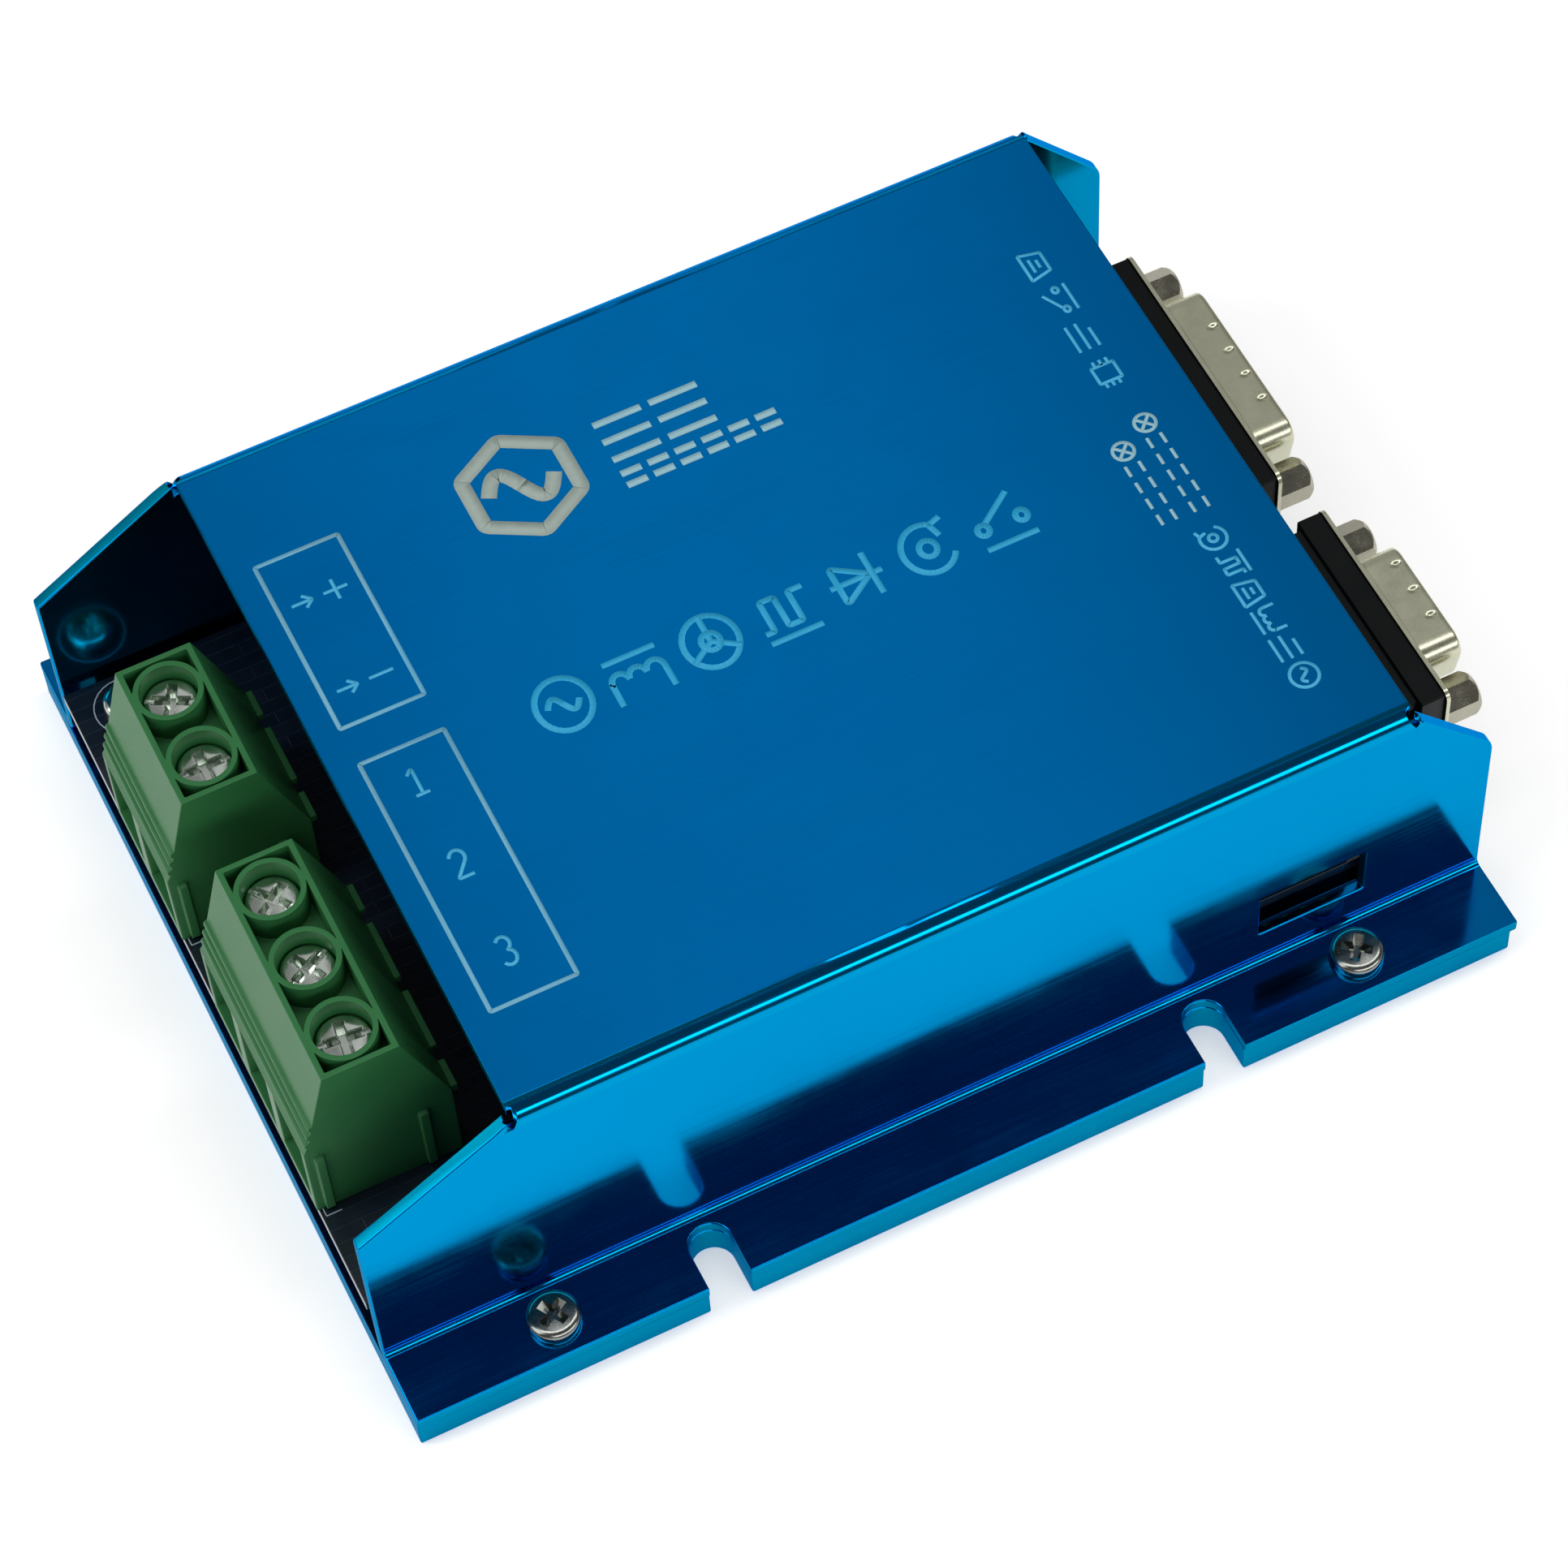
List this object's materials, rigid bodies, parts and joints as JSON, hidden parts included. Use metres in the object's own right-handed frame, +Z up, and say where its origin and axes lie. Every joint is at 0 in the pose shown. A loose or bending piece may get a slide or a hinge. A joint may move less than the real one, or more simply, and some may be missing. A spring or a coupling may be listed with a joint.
{
  "type": "servo driver",
  "caption": "Boxed brushless servo driver: circuit board in a folded sheet cover on a thick base plate, screw terminals at one end, D connectors at the other.",
  "frame": {"origin": "underside of the base plate, midway between the four fixing slots", "axes": "+Z up out of the base plate, +X from the screw terminals towards the D connectors, +Y towards the wall with no window"},
  "size_m": [0.15, 0.117, 0.045],
  "materials": {
    "case_blue": "polished blue anodised",
    "screw_nickel": "nickel plated, cross recess",
    "board_mask": "dark solder mask",
    "brass": "machined",
    "terminal_green": "moulded nylon",
    "clamp_steel": "zinc plated",
    "contact_tin": "tin plated copper",
    "connector_black": "moulded, black",
    "shell_tin": "tin plated steel",
    "pin_gold": "gold flashed",
    "can_sleeve": "dark sleeve",
    "package_black": "moulded epoxy",
    "pad_grey": "silicone",
    "shunt_grey": "sheet alloy",
    "light_green": "moulded lens",
    "light_red": "moulded lens"
  },
  "bodies": {
    "case": {"base_plate": "case_blue", "cover": "case_blue", "cover_screws": "screw_nickel", "circuit_board": "board_mask", "board_standoffs": "brass", "board_screws": "screw_nickel", "power_terminal_housing": "terminal_green", "motor_terminal_housing": "terminal_green", "power_contacts": "contact_tin", "motor_contacts": "contact_tin", "control_body": "connector_black", "control_shell": "shell_tin", "control_pins": "pin_gold", "control_jackscrews": "screw_nickel", "encoder_body": "connector_black", "encoder_shell": "shell_tin", "encoder_pins": "pin_gold", "encoder_jackscrews": "screw_nickel", "bulk_capacitors": "can_sleeve", "power_transistors": "package_black", "transistor_screws": "screw_nickel", "transistor_pad": "pad_grey", "gate_drivers": "package_black", "current_shunts": "shunt_grey", "power_inductor": "package_black", "voltage_regulator": "package_black", "controller_chip": "package_black", "power_light": "light_green", "status_light": "light_red", "service_header": "connector_black", "service_pins": "pin_gold"},
    "power_screw_1": {"power_screw_1": "screw_nickel"},
    "power_cage_1": {"power_cage_1": "clamp_steel"},
    "power_screw_2": {"power_screw_2": "screw_nickel"},
    "power_cage_2": {"power_cage_2": "clamp_steel"},
    "motor_screw_1": {"motor_screw_1": "screw_nickel"},
    "motor_cage_1": {"motor_cage_1": "clamp_steel"},
    "motor_screw_2": {"motor_screw_2": "screw_nickel"},
    "motor_cage_2": {"motor_cage_2": "clamp_steel"},
    "motor_screw_3": {"motor_screw_3": "screw_nickel"},
    "motor_cage_3": {"motor_cage_3": "clamp_steel"}
  },
  "joints": [
    {"name": "power_1_screw_turn", "type": "hinge", "parent": "case", "child": "power_screw_1", "pos_m": [-0.0632, 0.02264, 0.0366], "axis": [0, 0, -1], "range_deg": [0, 2315]},
    {"name": "power_1_cage_rise", "type": "slide", "parent": "case", "child": "power_cage_1", "axis": [0, 0, 1], "range_m": [0, 0.0045]},
    {"name": "power_2_screw_turn", "type": "hinge", "parent": "case", "child": "power_screw_2", "pos_m": [-0.0632, 0.01248, 0.0366], "axis": [0, 0, -1], "range_deg": [0, 2315]},
    {"name": "power_2_cage_rise", "type": "slide", "parent": "case", "child": "power_cage_2", "axis": [0, 0, 1], "range_m": [0, 0.0045]},
    {"name": "motor_1_screw_turn", "type": "hinge", "parent": "case", "child": "motor_screw_1", "pos_m": [-0.0632, -0.00765, 0.0366], "axis": [0, 0, -1], "range_deg": [0, 2315]},
    {"name": "motor_1_cage_rise", "type": "slide", "parent": "case", "child": "motor_cage_1", "axis": [0, 0, 1], "range_m": [0, 0.0045]},
    {"name": "motor_2_screw_turn", "type": "hinge", "parent": "case", "child": "motor_screw_2", "pos_m": [-0.0632, -0.01781, 0.0366], "axis": [0, 0, -1], "range_deg": [0, 2315]},
    {"name": "motor_2_cage_rise", "type": "slide", "parent": "case", "child": "motor_cage_2", "axis": [0, 0, 1], "range_m": [0, 0.0045]},
    {"name": "motor_3_screw_turn", "type": "hinge", "parent": "case", "child": "motor_screw_3", "pos_m": [-0.0632, -0.02797, 0.0366], "axis": [0, 0, -1], "range_deg": [0, 2315]},
    {"name": "motor_3_cage_rise", "type": "slide", "parent": "case", "child": "motor_cage_3", "axis": [0, 0, 1], "range_m": [0, 0.0045]}
  ],
  "couplings": [
    {"joint": "power_1_screw_turn", "follows": "power_1_cage_rise", "rad_per_m": 8976},
    {"joint": "power_2_screw_turn", "follows": "power_2_cage_rise", "rad_per_m": 8976},
    {"joint": "motor_1_screw_turn", "follows": "motor_1_cage_rise", "rad_per_m": 8976},
    {"joint": "motor_2_screw_turn", "follows": "motor_2_cage_rise", "rad_per_m": 8976},
    {"joint": "motor_3_screw_turn", "follows": "motor_3_cage_rise", "rad_per_m": 8976}
  ]
}
